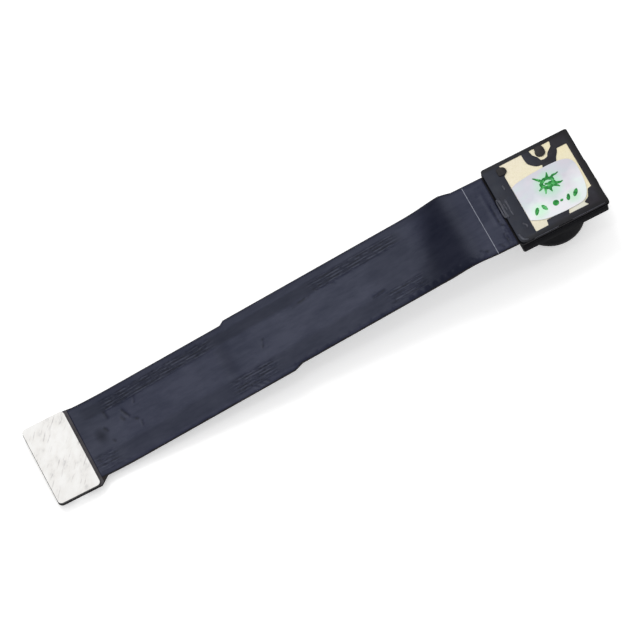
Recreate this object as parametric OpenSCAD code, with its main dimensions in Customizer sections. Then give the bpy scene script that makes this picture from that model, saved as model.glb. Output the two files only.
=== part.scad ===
// Fixed-focus camera module on a long flexible ribbon.
// Frame: X runs along the ribbon from the plug to the head, Y across it, Z up.
// The origin is on the optical axis, in the plane of the barrel's front rim, so the
// module lies lens down on Z = 0 with the plug's mating face at the same level.

/* [Head] */
// Length of the square head along the ribbon
head_l = 8.8; // [8.4:0.1:11]
// Width of the head across the ribbon
head_w = 8.5; // [8.4:0.1:11]
// Corner radius of the board
head_r = 0.2; // [0.1:0.05:0.5]
// Inset of the moulded base from the board's edge
base_inset = 0.05; // [0:0.01:0.2]
// Height of the moulded base
base_h = 1.3; // [1.2:0.05:2]
// Length of the sensor's cavity along the ribbon
cavity_l = 6.5; // [6.3:0.05:6.9]
// Width of the sensor's cavity
cavity_w = 6.2; // [5.6:0.05:6.6]
// Depth of the sensor's cavity
cavity_d = 0.75; // [0.65:0.05:1]
// Radius of the small corner peg
peg_small_r = 0.36; // [0.25:0.01:0.45]
// Radius of the large locating peg
peg_large_r = 0.46; // [0.35:0.01:0.55]
// Distance of both pegs from the board's upper edge
peg_edge = 1.0; // [0.8:0.05:1.2]
// Distance of the small peg from the board's edge on the ribbon's side
peg_small_in = 1.79; // [1.6:0.01:2.1]
// Distance of the large peg from the same edge
peg_large_in = 5.62; // [5.2:0.01:6]
// Clearance around a peg in the board
peg_clearance = 0.03; // [0.01:0.01:0.06]
// Height of a peg's head above the mask
peg_proud = 0.08; // [0.04:0.01:0.15]

/* [Board layers] */
// Thickness of the stiff layer that carries the sensor
lower_layer_t = 0.15; // [0.1:0.01:0.4]
// Thickness of the stiff layer at the back
upper_layer_t = 0.18; // [0.1:0.01:0.4]
// Thickness of the black mask
mask_t = 0.05; // [0.03:0.01:0.1]
// Thickness of the plated ground areas
plate_t = 0.04; // [0.02:0.01:0.1]
// Thickness of the sticker
label_t = 0.06; // [0.04:0.01:0.15]
// Thickness of the glue line between base and board
glue_t = 0.04; // [0.02:0.01:0.1]

/* [Mask windows] */
// Black band left of the window, on the ribbon's side
window_left = 1.71; // [1.5:0.01:2]
// Black border right of the window
window_right = 0.67; // [0.4:0.01:0.9]
// Black border above the window
window_top = 0.42; // [0.3:0.01:0.6]
// Black border below the window
window_bottom = 0.55; // [0.3:0.01:0.7]
// Length of the sticker
label_l = 6.3; // [5.8:0.05:6.5]
// Height of the sticker
label_w = 4.85; // [4.4:0.05:5]
// Corner radius of the sticker
label_r = 1.1; // [0.5:0.05:1.5]
// Turn of the sticker, in degrees
label_turn = -4; // [-6:0.5:6]

/* [Lens tube] */
// Outer radius of the tube
tube_r = 3.4; // [3.3:0.05:3.8]
// Length of the tube below the base
tube_h = 3.4; // [3:0.05:4.5]
// Gap between the tube's end and the barrel's collar
focus_gap = 0.1; // [0.05:0.05:0.4]
// Radial clearance of the barrel in the tube
barrel_clearance = 0.03; // [0.01:0.01:0.06]

/* [Lens barrel] */
// Outer radius of the barrel's body
barrel_r = 2.9; // [2.8:0.05:3.05]
// Length of the barrel
barrel_l = 3.7; // [3.4:0.05:4.1]
// Width of the barrel's front collar beyond its body
collar_lip = 0.25; // [0.2:0.05:0.3]
// Height of the collar
collar_h = 0.85; // [0.7:0.05:1.1]
// Front wall ahead of the first lens
front_wall = 0.55; // [0.45:0.05:0.7]
// Radius of the front opening at the rim
mouth_r = 2.0; // [1.7:0.05:2.2]
// Radius of the opening in front of the first lens
throat_r = 1.08; // [1.02:0.02:1.3]

/* [Lens stack] */
// Radius of the first element
lens_1_r = 1.7; // [1.6:0.05:1.8]
// Growth of the radius from one element to the next
lens_step = 0.2; // [0.15:0.01:0.24]
// Edge thickness of the first element
lens_1_t = 0.45; // [0.35:0.05:0.55]
// Edge thickness of the second element
lens_2_t = 0.4; // [0.35:0.05:0.5]
// Edge thickness of the third element
lens_3_t = 0.5; // [0.4:0.05:0.6]
// Edge thickness of the fourth element
lens_4_t = 0.65; // [0.55:0.05:0.75]
// Thickness of the stop and of the baffle
foil_t = 0.04; // [0.02:0.01:0.08]
// Thickness of the spacer ring
spacer_t = 0.2; // [0.15:0.05:0.3]
// Thickness of the retaining ring
ring_t = 0.3; // [0.2:0.05:0.4]
// Radius of the aperture
aperture_r = 0.75; // [0.5:0.05:0.9]

/* [Sensor and filter] */
// Length of the sensor die along the ribbon
die_l = 4.6; // [4:0.1:4.8]
// Width of the sensor die
die_w = 3.8; // [3.4:0.1:4]
// Thickness of the sensor die
die_t = 0.25; // [0.15:0.01:0.35]
// Thickness of the adhesive under the die
die_attach_t = 0.02; // [0.01:0.01:0.05]
// Length of the filter glass along the ribbon
filter_l = 5.4; // [5.1:0.1:5.6]
// Width of the filter glass
filter_w = 5.0; // [4.7:0.1:5.2]
// Thickness of the filter glass
filter_t = 0.21; // [0.15:0.01:0.3]
// Width of the ledge that the filter lies on
filter_ledge = 0.45; // [0.3:0.05:0.6]
// Thickness of that ledge
ledge_t = 0.2; // [0.15:0.05:0.3]

/* [Ribbon] */
// Length of the free ribbon from the connector pad to the head
ribbon_l = 43.4; // [30:0.2:70]
// Width of the ribbon
ribbon_w = 7.7; // [7:0.1:8]
// Sideways offset of the ribbon's axis at the connector pad
pad_offset = 0.31; // [-0.4:0.01:0.4]
// Sideways offset of the ribbon's axis at the head
head_offset = -0.12; // [-0.2:0.01:0.2]
// Thickness of the copper and polyimide core
core_t = 0.12; // [0.08:0.01:0.2]
// Thickness of each black shield film
film_t = 0.05; // [0.03:0.01:0.1]
// Inset of the films from the core's edge
film_inset = 0.05; // [0:0.01:0.15]
// Sideways jog of the ribbon's middle stretch
jog = 0.3; // [0.05:0.05:0.5]
// Start of the upper edge's jog, from the head
jog_upper_far = 27.3; // [20:0.1:28]
// Start of the lower edge's jog, from the head
jog_lower_far = 23.2; // [15:0.1:26]
// End of the upper edge's jog, from the head
jog_upper_near = 3.3; // [2:0.1:6]
// End of the lower edge's jog, from the head
jog_lower_near = 2.2; // [2:0.1:4]
// Level run of the ribbon beside the head
level_run = 3.5; // [3:0.1:8]
// Length of the steeper bend next to that run
bend_l = 5; // [4:0.5:8]
// Height taken up by that bend
bend_h = 0.55; // [0.1:0.05:0.8]
// Bare gap between the films and the head
film_gap = 0.2; // [0.1:0.02:0.4]

/* [Connector] */
// Length of the connector pad along the ribbon
pad_l = 4.3; // [4:0.05:6]
// Width of the connector pad
pad_w = 8.5; // [8.3:0.05:9.5]
// Corner radius of the pad and its stiffener
pad_r = 0.45; // [0.2:0.05:0.8]
// Length of the shoulder between pad and ribbon
shoulder_l = 0.9; // [0.6:0.1:2]
// Thickness of the steel stiffener
stiffener_t = 0.3; // [0.15:0.05:0.5]
// Inset of the stiffener and its adhesive from the pad's edge
plate_inset = 0.06; // [0.02:0.01:0.15]
// Thickness of the adhesive under the stiffener
adhesive_t = 0.05; // [0.03:0.01:0.1]
// Strip of adhesive left bare beside the stiffener
adhesive_strip = 0.27; // [0.1:0.01:0.4]
// Contacts in each of the two rows
contacts_per_row = 15; // [8:1:15]
// Pitch of the contacts
contact_pitch = 0.4; // [0.35:0.01:0.4]
// Width of one contact
contact_w = 0.16; // [0.1:0.01:0.2]
// Thickness of the contact strip
contact_t = 0.08; // [0.05:0.01:0.1]
// Length of a contact's soldered tail
tail_l = 0.35; // [0.25:0.05:0.5]
// Plug beyond the last contact at each end
plug_end = 0.95; // [0.8:0.05:1]
// Width of the plug along the ribbon
plug_w = 2.6; // [2.4:0.05:3]
// Height of the plug
plug_h = 0.8; // [0.7:0.05:1.2]
// Thickness of the plug's floor, against the core
plug_floor = 0.25; // [0.2:0.05:0.3]
// Thickness of the plug's long walls
plug_wall = 0.6; // [0.45:0.05:0.65]

/* [Hidden] */
$fn = 64;
eps = 0.01;      // overlap of cutting shapes
far = 20;        // reach of a cutting shape past the part

collar_r = barrel_r + collar_lip;

// Levels, from the surface up
tube_z = collar_h + focus_gap;                 // end of the tube
base_z = tube_z + tube_h;                      // underside of the base
cavity_z = base_z + base_h;                    // open top of the base
board_z = cavity_z + glue_t;                   // underside of the board
head_core_z = board_z + lower_layer_t;         // ribbon core inside the head
upper_z = head_core_z + core_t;
mask_z = upper_z + upper_layer_t;
back_z = mask_z + mask_t;                      // back of the head

// Filter and bore inside the base
filter_glue_t = 0.03;
pocket_clearance = 0.05;
pocket_d = filter_t + filter_glue_t + 0.06;
pocket_z = cavity_z - cavity_d - pocket_d;     // face of the filter ledge
bore_top_z = pocket_z - ledge_t;
opening_l = filter_l - 2 * filter_ledge;
opening_w = filter_w - 2 * filter_ledge;

// Lens stack, from the front rim up
lens_fit = 0.01;
lens_2_r = lens_1_r + lens_step;
lens_3_r = lens_2_r + lens_step;
lens_4_r = lens_3_r + lens_step;
lens_1_z = front_wall;
stop_z = lens_1_z + lens_1_t;
lens_2_z = stop_z + foil_t;
spacer_z = lens_2_z + lens_2_t;
lens_3_z = spacer_z + spacer_t;
baffle_z = lens_3_z + lens_3_t;
lens_4_z = baffle_z + foil_t;
ring_z = lens_4_z + lens_4_t;
lens_air = 0.08;                               // least air between two lens surfaces

// Optical surfaces: radius and sag at the front, radius and sag at the back. A positive sag
// bulges out of the element's edge, a negative one is hollowed into it.
lens_1_s = [0.92, 0.33, 0.8, -0.06];
lens_2_s = [1, -0.1, 1.15, -0.16];
lens_3_s = [1.35, -0.12, 1.5, 0.2];
lens_4_s = [1.65, -(lens_3_s[3] + lens_air - foil_t), 1.75, -0.18];
spacer_bore_r = [1.2, 1.4];
baffle_r = 1.6;
ring_bore_r = [1.8, 2.05];

// Places along the ribbon
head_x0 = -head_l / 2;
pad_x1 = head_x0 - ribbon_l;
pad_x0 = pad_x1 - pad_l;
plug_x = (pad_x0 + pad_x1) / 2;
shoulder_x = pad_x1 + shoulder_l;
ramp_x1 = head_x0 - level_run;                 // upper end of the ramp
bend_x0 = ramp_x1 - bend_l;
jog_upper_x0 = head_x0 - jog_upper_far;        // the edges step sideways at these places
jog_upper_x1 = head_x0 - jog_upper_near;
jog_lower_x0 = head_x0 - jog_lower_far;
jog_lower_x1 = head_x0 - jog_lower_near;
jog_upper_run = 0.5;                           // lengths of the steps
jog_upper_fade = 1.2;
jog_lower_run = 0.9;
jog_lower_fade = 5.8;

// Plug
plug_len = (contacts_per_row - 1) * contact_pitch + 2 * plug_end;
plug_end_wall = 0.55;
hold_w = 1.6;
hold_t = 0.1;
hold_tail = 0.28;
hold_lap = 0.3;

// Pegs
peg_y = head_w / 2 - peg_edge;
peg_large_x = head_x0 + peg_large_in;
pegs = [[head_x0 + peg_small_in, peg_y, peg_small_r], [peg_large_x, peg_y, peg_large_r]];
boss_wall = 0.2;

// Capacitors beside the die
cap_l = 0.6;
cap_w = 0.3;
cap_h = 0.3;
cap_end = 0.15;
cap_gap = 0.2;                                 // between the wires' landings and a capacitor
cap_ys = [-1.45, -0.5, 0.5, 1.45];

// Bond wires
wire_t = 0.03;
wire_in = 0.12;                                // landing inside the die's edge
wire_out = 0.3;                                // landing outside it
wire_rise = 0.14;
wire_pitch = 0.28;
cap_x = die_l / 2 + wire_out + cap_gap + cap_w / 2;

// A rise from 0 to 1 whose ends are parabolas over the shares b0 and b1 of its run
function ease(t, b0, b1) =
    let (m = 1 / (1 - (b0 + b1) / 2))
    t <= 0 ? 0 :
    t >= 1 ? 1 :
    t < b0 ? m * t * t / (2 * b0) :
    t > 1 - b1 ? 1 - m * (1 - t) * (1 - t) / (2 * b1) :
    m * (t - b0 / 2);

// Height of the core's underside at a place along the ribbon
function core_z(x) = plug_h
    + (head_core_z - plug_h - bend_h) * ease((x - shoulder_x) / (ramp_x1 - shoulder_x), 0.1, 0.04)
    + bend_h * ease((x - bend_x0) / bend_l, 0.45, 0.45);

// The ribbon's axis runs from its offset at the pad to its offset at the head
function axis_y(x) = pad_offset + (head_offset - pad_offset) * (x - pad_x1) / ribbon_l;

// Places where the ribbon's profile needs a point: both ends' bends closely, the ramp sparsely
ramp_l = ramp_x1 - shoulder_x;
ramp_stations = concat(
    [for (i = [0 : 8]) shoulder_x + 0.1 * ramp_l * i / 8],
    [for (i = [1 : 5]) shoulder_x + 0.1 * ramp_l + (bend_x0 - shoulder_x - 0.1 * ramp_l) * i / 5],
    [for (i = [1 : 16]) bend_x0 + bend_l * i / 16]
);

module rounded_rect(l, w, r) {
    square([l - 2 * r, w], center = true);
    square([l, w - 2 * r], center = true);
    for (x = [-1, 1], y = [-1, 1])
        translate([x * (l / 2 - r), y * (w / 2 - r)]) circle(r);
}

module slab(z, t) {
    translate([0, 0, z]) linear_extrude(t) children();
}

module head_outline(inset = 0) {
    rounded_rect(head_l - 2 * inset, head_w - 2 * inset, head_r);
}

module cavity_outline() {
    difference() {
        square([cavity_l, cavity_w], center = true);
        for (p = pegs) translate([p[0], p[1]]) circle(p[2] + boss_wall);
    }
}

module peg_holes() {
    for (p = pegs) translate([p[0], p[1]]) circle(p[2] + peg_clearance);
}

// The ribbon's outline between the pad and the head, with its sideways jog
module ribbon_outline(x0, x1, inset) {
    e = ribbon_w / 2 - inset;
    pad_e = pad_w / 2 - inset;
    edges = [
        [shoulder_x, e],
        [jog_upper_x0, e], [jog_upper_x0 + jog_upper_run, e + jog],
        [jog_upper_x1 - jog_upper_fade, e + jog], [jog_upper_x1, e], [head_x0 + head_r, e],
        [head_x0 + head_r, -e], [jog_lower_x1, -e],
        [jog_lower_x1 - jog_lower_fade, -e + jog], [jog_lower_x0 + jog_lower_run, -e + jog],
        [jog_lower_x0, -e], [shoulder_x, -e]
    ];
    intersection() {
        polygon(concat(
            [[pad_x1 - pad_r, pad_e], [pad_x1, pad_e]],
            [for (p = edges) [p[0], p[1] + axis_y(p[0])]],
            [[pad_x1, -pad_e], [pad_x1 - pad_r, -pad_e]]
        ));
        translate([x0, -far]) square([x1 - x0, 2 * far]);
    }
}

// A layer of the ribbon: its outline (children) bent to the ribbon's profile
module ribbon_layer(z_off, t, x0, x1) {
    xs = concat([x0], [for (x = ramp_stations) if (x > x0 + eps && x < x1 - eps) x], [x1]);
    under = [for (x = xs) [x, core_z(x) + z_off]];
    over = [for (i = [len(xs) - 1 : -1 : 0]) [xs[i], core_z(xs[i]) + z_off + t]];
    intersection() {
        rotate([90, 0, 0]) linear_extrude(2 * pad_w, center = true) polygon(concat(under, over));
        linear_extrude(far) children();
    }
}

module pad_outline(inset = 0) {
    translate([plug_x, 0]) rounded_rect(pad_l - 2 * inset, pad_w - 2 * inset, pad_r - inset);
}

/* Connector end */

module connector_stiffener() {
    color("gainsboro") slab(plug_h + core_t + adhesive_t, stiffener_t) pad_outline(plate_inset);
}

module stiffener_adhesive() {
    color("dimgray") slab(plug_h + core_t, adhesive_t) {
        pad_outline(plate_inset);
        ribbon_outline(pad_x1 - pad_r, pad_x1 + adhesive_strip, plate_inset);
    }
}

// One contact: soldered tail, down the wall's outside, over its edge and up inside
module contact() {
    xo = plug_w / 2;
    xi = xo - plug_wall;
    top = plug_h - plug_floor - contact_t;
    rotate([90, 0, 0]) linear_extrude(contact_w, center = true) polygon([
        [xo + tail_l, plug_h], [xo + tail_l, plug_h - contact_t], [xo, plug_h - contact_t],
        [xo, 0], [xi, 0], [xi, top], [xi + contact_t, top], [xi + contact_t, contact_t],
        [xo - contact_t, contact_t], [xo - contact_t, plug_h]
    ]);
}

module contact_rows() {
    for (side = [0, 180], i = [0 : contacts_per_row - 1])
        translate([plug_x, (i - (contacts_per_row - 1) / 2) * contact_pitch, 0])
            rotate([0, 0, side]) contact();
}

// One end fitting: soldered tail, down the end and under its edge
module hold_down() {
    yo = plug_len / 2;
    rotate([90, 0, 90]) linear_extrude(hold_w, center = true) polygon([
        [yo + hold_tail, plug_h], [yo + hold_tail, plug_h - hold_t], [yo, plug_h - hold_t],
        [yo, 0], [yo - hold_lap, 0], [yo - hold_lap, hold_t],
        [yo - hold_t, hold_t], [yo - hold_t, plug_h]
    ]);
}

module hold_down_pair() {
    for (side = [0, 180]) translate([plug_x, 0, 0]) rotate([0, 0, side]) hold_down();
}

module plug_housing() {
    color([0.09, 0.09, 0.1]) difference() {
        slab(0, plug_h) translate([plug_x, 0]) square([plug_w, plug_len], center = true);
        slab(-eps, plug_h - plug_floor + eps) translate([plug_x, 0])
            square([plug_w - 2 * plug_wall, plug_len - 2 * plug_end_wall], center = true);
        contact_rows();
        hold_down_pair();
    }
}

module plug_contacts() {
    color("gold") contact_rows();
}

module plug_hold_downs() {
    color("silver") hold_down_pair();
}

/* Ribbon */

module flex_core() {
    color([0.25, 0.2, 0.12]) difference() {
        union() {
            slab(plug_h, core_t) pad_outline();
            ribbon_layer(0, core_t, pad_x1 - pad_r, head_x0 + head_r)
                ribbon_outline(pad_x1 - pad_r, head_x0 + head_r, 0);
            slab(head_core_z, core_t) head_outline();
        }
        slab(0, far) peg_holes();
    }
}

module top_shield_film() {
    x0 = pad_x1 + adhesive_strip;
    x1 = head_x0 - film_gap;
    color([0.2, 0.21, 0.26]) ribbon_layer(core_t, film_t, x0, x1) ribbon_outline(x0, x1, film_inset);
}

module bottom_shield_film() {
    x0 = pad_x1 + adhesive_strip;
    x1 = head_x0 - film_gap;
    color([0.1, 0.1, 0.12]) ribbon_layer(-film_t, film_t, x0, x1) ribbon_outline(x0, x1, film_inset);
}

// Quarter-round bead in the corner between the ribbon's core and the head's stiff layer
module junction_bead() {
    color([0.05, 0.05, 0.06]) intersection() {
        translate([head_x0, head_offset, upper_z]) rotate([90, 0, 0])
            cylinder(r = min(film_gap, upper_layer_t), h = ribbon_w - 2 * film_inset, center = true);
        translate([head_x0 - far, -far, upper_z]) cube([far, 2 * far, far]);
    }
}

/* Board of the head */

module upper_rigid_layer() {
    color([0.12, 0.12, 0.13]) difference() {
        slab(upper_z, upper_layer_t) head_outline();
        slab(0, far) peg_holes();
    }
}

module lower_rigid_layer() {
    color([0.12, 0.12, 0.13]) difference() {
        slab(board_z, lower_layer_t) head_outline();
        slab(0, far) peg_holes();
    }
}

// Windows of the mask, measured from the board's edges and from the large peg
wx0 = head_x0 + window_left;
wx1 = head_l / 2 - window_right;
wy1 = head_w / 2 - window_top;
wy0 = -head_w / 2 + window_bottom;
island_r = peg_large_r + 0.42;
island_x = peg_large_x + 0.17;
collar_in = 0.62;                              // width of the black band round the island

module island_window() {
    difference() {
        intersection() {
            union() {
                translate([island_x, peg_y + 0.06]) circle(island_r);
                translate([island_x - island_r - 0.1, peg_y + 0.16])
                    square([2 * island_r + 0.2, wy1 - peg_y]);
            }
            translate([wx0, wy0]) square([wx1 - wx0, wy1 - wy0]);
        }
        peg_holes();
    }
}

// Black band that bows round the island, with lobes left, below and right of it
module island_band() {
    translate([island_x - island_r - 0.35, peg_y - 0.3]) square([collar_in, window_top + peg_edge]);
    translate([island_x - 0.82 * island_r - 0.2, peg_y - 0.42]) circle(0.9 * collar_in);
    translate([island_x - 0.3, peg_y - 0.86]) circle(collar_in);
    translate([island_x + 0.35, peg_y - 0.96]) circle(0.92 * collar_in);
    translate([island_x + 0.72 * island_r, peg_y - 0.72]) circle(0.95 * collar_in);
}

module main_window() {
    difference() {
        translate([wx0, wy0]) square([wx1 - wx0, wy1 - wy0]);
        island_band();
        translate([island_x, peg_y + 0.06]) circle(island_r + 0.12);
        // upper corner beyond the island
        translate([island_x + island_r, wy1 - 1.05]) square([far, far]);
        // lower corner, cut off on the slant
        translate([wx1, wy0]) polygon([
            [-0.85, -eps], [-1.15, 0.45], [-0.75, 0.75], [-0.55, 1.38], [eps, 1.38], [eps, -eps]
        ]);
        // notch in the lower edge
        translate([wx0 + 1.32, wy0 - eps]) polygon([[0.22, 0], [0, 0.8], [2.1, 0.8], [2.02, 0]]);
        peg_holes();
    }
}

module solder_mask() {
    color([0.14, 0.145, 0.17]) difference() {
        slab(mask_z, mask_t) head_outline();
        slab(mask_z - eps, mask_t + 2 * eps) {
            main_window();
            island_window();
            peg_holes();
        }
    }
}

module ground_plate() {
    color([0.92, 0.88, 0.72]) slab(mask_z, min(plate_t, mask_t)) {
        main_window();
        island_window();
    }
}

module back_label() {
    color([0.85, 0.86, 0.88]) slab(back_z, label_t) intersection() {
        translate([(wx0 + wx1) / 2 - 0.26, (wy0 + wy1) / 2 - 0.79])
            rotate(label_turn) rounded_rect(label_l, label_w, label_r);
        translate([wx0, wy0 + 0.05]) square([wx1 - wx0, wy1 - wy0]);
    }
}

/* Lens holder */

module peg(p) {
    tip_z = back_z + peg_proud;
    chamfer = 0.06;
    translate([p[0], p[1], cavity_z - cavity_d]) rotate_extrude() polygon([
        [0, 0], [p[2], 0], [p[2], tip_z - cavity_z + cavity_d - chamfer],
        [p[2] - chamfer, tip_z - cavity_z + cavity_d], [0, tip_z - cavity_z + cavity_d]
    ]);
}

module lens_holder() {
    foot = 0.15;                               // chamfer where the tube meets the base
    color([0.08, 0.08, 0.09]) difference() {
        union() {
            slab(base_z, base_h) head_outline(base_inset);
            translate([0, 0, tube_z]) rotate_extrude() polygon([
                [0, 0], [tube_r - 0.12, 0], [tube_r, 0.12], [tube_r, tube_h - foot],
                [tube_r + foot, tube_h + eps], [0, tube_h + eps]
            ]);
            for (p = pegs) peg(p);
        }
        translate([0, 0, tube_z - eps]) cylinder(r = barrel_r + barrel_clearance, h = bore_top_z - tube_z + eps);
        slab(bore_top_z - eps, far) square([opening_l, opening_w], center = true);
        slab(pocket_z, far)
            square([filter_l + 2 * pocket_clearance, filter_w + 2 * pocket_clearance], center = true);
        slab(cavity_z - cavity_d, cavity_d + eps) cavity_outline();
    }
}

module holder_glue() {
    color([0.05, 0.05, 0.06]) slab(cavity_z, glue_t) difference() {
        head_outline(base_inset);
        cavity_outline();
        for (p = pegs) translate([p[0], p[1]]) circle(p[2]);
    }
}

/* Sensor side of the board, facing down into the cavity */

module die_attach() {
    color("whitesmoke") slab(board_z - die_attach_t, die_attach_t) square([die_l, die_w], center = true);
}

module sensor_die() {
    color([0.25, 0.3, 0.4]) slab(board_z - die_attach_t - die_t, die_t)
        square([die_l, die_w], center = true);
}

// One wire in its own plane, from the die's face (left) over its edge to the board (right)
module wire() {
    z = die_attach_t + die_t;
    rotate([-90, 0, 0]) linear_extrude(wire_t, center = true) polygon([
        [-wire_in, z], [-wire_in, z + wire_rise], [0.08, z + wire_rise], [wire_out, 0],
        [wire_out - wire_t, 0], [0.08 - wire_t, z + wire_rise - wire_t],
        [wire_t - wire_in, z + wire_rise - wire_t], [wire_t - wire_in, z]
    ]);
}

module wire_row(reach, along, turn) {
    n = floor((along - 0.4) / wire_pitch);
    rotate(turn) for (i = [0 : n])
        translate([reach / 2, (i - n / 2) * wire_pitch, 0]) wire();
}

module bond_wires() {
    color("gold") translate([0, 0, board_z]) {
        wire_row(die_l, die_w, 0);
        wire_row(die_l, die_w, 180);
        wire_row(die_w, die_l, 90);
        wire_row(die_w, die_l, 270);
    }
}

module at_capacitors() {
    for (side = [-1, 1], y = cap_ys) translate([side * cap_x, y, board_z - cap_h]) children();
}

module capacitor_bodies() {
    color("tan") at_capacitors() translate([-cap_w / 2, -cap_l / 2 + cap_end, 0])
        cube([cap_w, cap_l - 2 * cap_end, cap_h]);
}

module capacitor_terminals() {
    color("silver") at_capacitors() for (y = [-cap_l / 2, cap_l / 2 - cap_end])
        translate([-cap_w / 2, y, 0]) cube([cap_w, cap_end, cap_h]);
}

module ir_filter() {
    color([0.55, 0.75, 0.8]) slab(pocket_z + filter_glue_t, filter_t)
        square([filter_l, filter_w], center = true);
}

module filter_glue() {
    color("ivory") slab(pocket_z, filter_glue_t) difference() {
        square([filter_l, filter_w], center = true);
        square([opening_l, opening_w], center = true);
    }
}

/* Lens barrel and stack */

module lens_barrel() {
    chamfer = 0.12;
    slot_w = 0.35;
    slot_d = 0.25;
    color([0.07, 0.07, 0.08]) difference() {
        rotate_extrude() polygon([
            [0, 0], [collar_r - chamfer, 0], [collar_r, chamfer], [collar_r, collar_h],
            [barrel_r, collar_h], [barrel_r, barrel_l - 0.1], [barrel_r - 0.1, barrel_l], [0, barrel_l]
        ]);
        // mouth: a cone down to the throat ahead of the first lens
        translate([0, 0, -eps]) cylinder(r1 = mouth_r, r2 = throat_r, h = front_wall - 0.15 + eps);
        translate([0, 0, -eps]) cylinder(r = throat_r, h = front_wall + 2 * eps);
        // seats, each wider than the one before
        translate([0, 0, lens_1_z]) cylinder(r = lens_1_r + lens_fit, h = far);
        translate([0, 0, lens_2_z]) cylinder(r = lens_2_r + lens_fit, h = far);
        translate([0, 0, lens_3_z]) cylinder(r = lens_3_r + lens_fit, h = far);
        translate([0, 0, lens_4_z]) cylinder(r = lens_4_r + lens_fit, h = far);
        // slots in the front face for the focusing tool
        for (a = [45 : 90 : 315]) rotate(a)
            translate([mouth_r + 0.2, -slot_w / 2, -eps]) cube([collar_r - mouth_r - 0.55, slot_w, slot_d + eps]);
    }
}

// Cap of a sphere with the given sag over radius c, standing on z = 0 and bulging down
module cap(c, sag) {
    r = (c * c + sag * sag) / (2 * sag);
    intersection() {
        translate([0, 0, r - sag]) sphere(r, $fn = 96);
        translate([0, 0, -sag - eps]) cylinder(r = c + eps, h = sag + 2 * eps);
    }
}

// One element: a flat rim of radius r and thickness t with an optical surface s on each side
module element(r, t, s) {
    difference() {
        union() {
            cylinder(r = r, h = t);
            if (s[1] > 0) cap(s[0], s[1]);
            if (s[3] > 0) translate([0, 0, t]) mirror([0, 0, 1]) cap(s[2], s[3]);
        }
        if (s[1] < 0) mirror([0, 0, 1]) cap(s[0], -s[1]);
        if (s[3] < 0) translate([0, 0, t]) cap(s[2], -s[3]);
    }
}

module lens_1() {
    color([0.75, 0.8, 0.9, 0.6]) translate([0, 0, lens_1_z])
        element(lens_1_r, lens_1_t, lens_1_s);
}

module aperture_stop() {
    color([0.03, 0.03, 0.03]) translate([0, 0, stop_z]) difference() {
        cylinder(r = lens_1_r, h = foil_t);
        translate([0, 0, -eps]) cylinder(r = aperture_r, h = foil_t + 2 * eps);
    }
}

module lens_2() {
    color([0.75, 0.8, 0.9, 0.6]) translate([0, 0, lens_2_z])
        element(lens_2_r, lens_2_t, lens_2_s);
}

module lens_spacer() {
    color([0.05, 0.05, 0.05]) translate([0, 0, spacer_z]) difference() {
        cylinder(r = lens_2_r, h = spacer_t);
        translate([0, 0, -eps]) cylinder(r1 = spacer_bore_r[0], r2 = spacer_bore_r[1], h = spacer_t + 2 * eps);
    }
}

module lens_3() {
    color([0.75, 0.8, 0.9, 0.6]) translate([0, 0, lens_3_z])
        element(lens_3_r, lens_3_t, lens_3_s);
}

module light_baffle() {
    color([0.03, 0.03, 0.03]) translate([0, 0, baffle_z]) difference() {
        cylinder(r = lens_3_r, h = foil_t);
        translate([0, 0, -eps]) cylinder(r = baffle_r, h = foil_t + 2 * eps);
    }
}

module lens_4() {
    color([0.75, 0.8, 0.9, 0.6]) translate([0, 0, lens_4_z])
        element(lens_4_r, lens_4_t, lens_4_s);
}

module retaining_ring() {
    color([0.05, 0.05, 0.05]) translate([0, 0, ring_z]) difference() {
        cylinder(r = lens_4_r, h = ring_t);
        translate([0, 0, -eps]) cylinder(r1 = ring_bore_r[0], r2 = ring_bore_r[1], h = ring_t + 2 * eps);
    }
}

// Dabs of glue in the groove between the collar and the tube's end
module thread_glue() {
    color([0.75, 0.72, 0.6]) for (a = [20, 140, 260]) rotate(a)
        rotate_extrude(angle = 24) translate([barrel_r, collar_h])
            square([collar_r - barrel_r - 0.03, focus_gap]);
}

connector_stiffener();
stiffener_adhesive();
plug_housing();
plug_contacts();
plug_hold_downs();
flex_core();
top_shield_film();
bottom_shield_film();
junction_bead();
upper_rigid_layer();
lower_rigid_layer();
solder_mask();
ground_plate();
back_label();
lens_holder();
holder_glue();
sensor_die();
die_attach();
bond_wires();
capacitor_bodies();
capacitor_terminals();
ir_filter();
filter_glue();
lens_barrel();
lens_1();
aperture_stop();
lens_2();
lens_spacer();
lens_3();
light_baffle();
lens_4();
retaining_ring();
thread_glue();
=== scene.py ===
import bpy
import bmesh
import math
import random
from mathutils import Matrix, Vector, noise


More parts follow.
